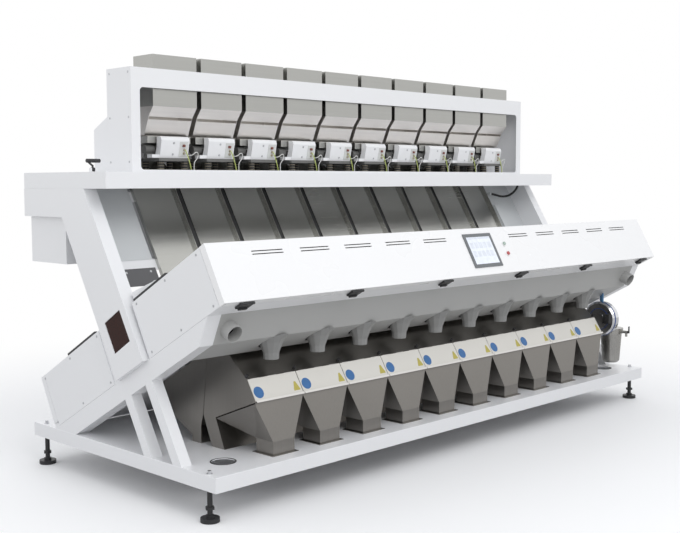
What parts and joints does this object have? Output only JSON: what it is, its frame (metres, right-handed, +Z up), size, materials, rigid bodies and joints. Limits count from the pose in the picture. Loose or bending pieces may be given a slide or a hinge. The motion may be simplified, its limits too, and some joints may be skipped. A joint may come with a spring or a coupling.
{
  "type": "sorting machine",
  "caption": "Chute-fed optical sorter: inlet hoppers, vibrating trays, leaning chutes, sloping camera boxes, lidded outlet hoppers and a welded frame on levelling feet.",
  "frame": {"origin": "middle of the machine on the floor, under the middle of its bounding box", "axes": "+X along the row of channels, -Y towards the operator's side with the screen, +Z up"},
  "size_m": [4.266, 1.8316, 2.412],
  "materials": {
    "white_paint": "satin",
    "cream_paint": "satin",
    "grey_steel": "satin",
    "dark_panel": "satin",
    "stainless": "brushed",
    "polished": "polished",
    "cast_grey": "matte",
    "spring_board": "matte",
    "black_rubber": "matte",
    "black_plastic": "matte",
    "screen": "gloss",
    "grey_button": "gloss",
    "red_button": "gloss",
    "clear_glass": "clear",
    "tinted_glass": "clear",
    "lamp_white": "gloss",
    "blue_pipe": "satin",
    "aluminium": "satin"
  },
  "bodies": {
    "main_frame": {"base_frame": "white_paint", "deck_plate": "white_paint", "side_frame_left": "white_paint", "side_frame_right": "white_paint", "leg_windows": "tinted_glass", "shelf_deck": "white_paint", "control_cabinet": "white_paint", "feeder_housing": "white_paint", "feeder_rear_cover": "white_paint", "inlet_hoppers": "white_paint", "drive_magnets": "cast_grey", "leaf_springs": "spring_board", "rubber_mounts": "black_rubber", "drive_covers": "white_paint", "chute_plates": "stainless", "chute_cross_tubes": "white_paint", "side_filler_panels": "grey_steel", "front_box": "white_paint", "rear_box": "white_paint", "side_covers": "white_paint", "cover_handles": "black_plastic", "viewing_glass": "clear_glass", "cameras": "aluminium", "lamps": "lamp_white", "ejector_manifold": "aluminium", "suction_duct": "grey_steel", "dust_horns": "stainless", "front_hopper": "dark_panel", "hopper_funnels": "white_paint", "rear_hopper": "white_paint", "lid_knobs": "black_plastic", "air_drum": "polished", "filter_bowl": "stainless", "air_pipes": "blue_pipe", "power_cable": "black_rubber"},
    "foot_front_left": {"foot_front_left": "black_plastic"},
    "foot_front_right": {"foot_front_right": "black_plastic"},
    "foot_back_left": {"foot_back_left": "black_plastic"},
    "foot_back_right": {"foot_back_right": "black_plastic"},
    "front_door": {"front_door": "white_paint", "touchscreen": "screen"},
    "rear_door": {"rear_door": "white_paint"},
    "door_latches": {"door_latches": "white_paint"},
    "start_button": {"start_button": "grey_button"},
    "stop_button": {"stop_button": "red_button"},
    "feeder_trays": {"feeder_trays": "stainless"},
    "front_wiper": {"front_wiper": "black_plastic"},
    "rear_wiper": {"rear_wiper": "black_plastic"},
    "drain_cock": {"drain_cock": "black_plastic"},
    "gate_lever": {"gate_lever": "black_plastic"},
    "hopper_lid_01": {"hopper_lid_01": "cream_paint"},
    "hopper_lid_02": {"hopper_lid_02": "cream_paint"},
    "hopper_lid_03": {"hopper_lid_03": "cream_paint"},
    "hopper_lid_04": {"hopper_lid_04": "cream_paint"},
    "hopper_lid_05": {"hopper_lid_05": "cream_paint"},
    "hopper_lid_06": {"hopper_lid_06": "cream_paint"},
    "hopper_lid_07": {"hopper_lid_07": "cream_paint"},
    "hopper_lid_08": {"hopper_lid_08": "cream_paint"},
    "hopper_lid_09": {"hopper_lid_09": "cream_paint"},
    "hopper_lid_10": {"hopper_lid_10": "cream_paint"}
  },
  "joints": [
    {"name": "foot_front_left_turn", "type": "hinge", "parent": "main_frame", "child": "foot_front_left", "pos_m": [-2.07, -0.74416, 0.163], "axis": [0, 0, 1], "range_deg": [-180, 180]},
    {"name": "foot_front_right_turn", "type": "hinge", "parent": "main_frame", "child": "foot_front_right", "pos_m": [2.07, -0.74416, 0.163], "axis": [0, 0, 1], "range_deg": [-180, 180]},
    {"name": "foot_back_left_turn", "type": "hinge", "parent": "main_frame", "child": "foot_back_left", "pos_m": [-2.07, 0.82084, 0.163], "axis": [0, 0, 1], "range_deg": [-180, 180]},
    {"name": "foot_back_right_turn", "type": "hinge", "parent": "main_frame", "child": "foot_back_right", "pos_m": [2.07, 0.82084, 0.163], "axis": [0, 0, 1], "range_deg": [-180, 180]},
    {"name": "front_door_hinge", "type": "hinge", "parent": "main_frame", "child": "front_door", "pos_m": [0, -0.721, 1.37773], "axis": [-1, 0, 0], "range_deg": [0, 95]},
    {"name": "rear_door_hinge", "type": "hinge", "parent": "main_frame", "child": "rear_door", "pos_m": [0, 0.78769, 0.55174], "axis": [1, 0, 0], "range_deg": [0, 80]},
    {"name": "door_latch_turn", "type": "hinge", "parent": "front_door", "child": "door_latches", "pos_m": [0, -0.90531, 1.09523], "axis": [-1, 0, 0], "range_deg": [0, 70]},
    {"name": "start_button_press", "type": "slide", "parent": "front_door", "child": "start_button", "axis": [0, 0.8771, -0.4802], "range_m": [0, 0.004], "stiffness_N_per_m": 400, "springref_m": -0.003},
    {"name": "stop_button_press", "type": "slide", "parent": "front_door", "child": "stop_button", "axis": [0, 0.8771, -0.4802], "range_m": [0, 0.004], "stiffness_N_per_m": 400, "springref_m": -0.003},
    {"name": "tray_shake", "type": "slide", "parent": "main_frame", "child": "feeder_trays", "axis": [0, 0.9867, 0.1625], "range_m": [-0.001, 0.001], "stiffness_N_per_m": 200000},
    {"name": "front_wiper_travel", "type": "slide", "parent": "main_frame", "child": "front_wiper", "axis": [1, 0, 0], "range_m": [0, 3.63]},
    {"name": "rear_wiper_travel", "type": "slide", "parent": "main_frame", "child": "rear_wiper", "axis": [1, 0, 0], "range_m": [0, 3.63]},
    {"name": "drain_cock_turn", "type": "hinge", "parent": "main_frame", "child": "drain_cock", "pos_m": [2.005, -0.76416, 0.521], "axis": [0, 1, 0], "range_deg": [0, 90]},
    {"name": "gate_lever_swing", "type": "hinge", "parent": "main_frame", "child": "gate_lever", "pos_m": [-2.067, 0.25984, 1.757], "axis": [1, 0, 0], "range_deg": [-40, 40]},
    {"name": "lid_01_hinge", "type": "hinge", "parent": "main_frame", "child": "hopper_lid_01", "pos_m": [-1.5525, -0.63113, 0.65174], "axis": [-1, 0, 0], "range_deg": [0, 75]},
    {"name": "lid_02_hinge", "type": "hinge", "parent": "main_frame", "child": "hopper_lid_02", "pos_m": [-1.2075, -0.63113, 0.65174], "axis": [-1, 0, 0], "range_deg": [0, 75]},
    {"name": "lid_03_hinge", "type": "hinge", "parent": "main_frame", "child": "hopper_lid_03", "pos_m": [-0.8625, -0.63113, 0.65174], "axis": [-1, 0, 0], "range_deg": [0, 75]},
    {"name": "lid_04_hinge", "type": "hinge", "parent": "main_frame", "child": "hopper_lid_04", "pos_m": [-0.5175, -0.63113, 0.65174], "axis": [-1, 0, 0], "range_deg": [0, 75]},
    {"name": "lid_05_hinge", "type": "hinge", "parent": "main_frame", "child": "hopper_lid_05", "pos_m": [-0.1725, -0.63113, 0.65174], "axis": [-1, 0, 0], "range_deg": [0, 75]},
    {"name": "lid_06_hinge", "type": "hinge", "parent": "main_frame", "child": "hopper_lid_06", "pos_m": [0.1725, -0.63113, 0.65174], "axis": [-1, 0, 0], "range_deg": [0, 75]},
    {"name": "lid_07_hinge", "type": "hinge", "parent": "main_frame", "child": "hopper_lid_07", "pos_m": [0.5175, -0.63113, 0.65174], "axis": [-1, 0, 0], "range_deg": [0, 75]},
    {"name": "lid_08_hinge", "type": "hinge", "parent": "main_frame", "child": "hopper_lid_08", "pos_m": [0.8625, -0.63113, 0.65174], "axis": [-1, 0, 0], "range_deg": [0, 75]},
    {"name": "lid_09_hinge", "type": "hinge", "parent": "main_frame", "child": "hopper_lid_09", "pos_m": [1.2075, -0.63113, 0.65174], "axis": [-1, 0, 0], "range_deg": [0, 75]},
    {"name": "lid_10_hinge", "type": "hinge", "parent": "main_frame", "child": "hopper_lid_10", "pos_m": [1.5525, -0.63113, 0.65174], "axis": [-1, 0, 0], "range_deg": [0, 75]}
  ]
}
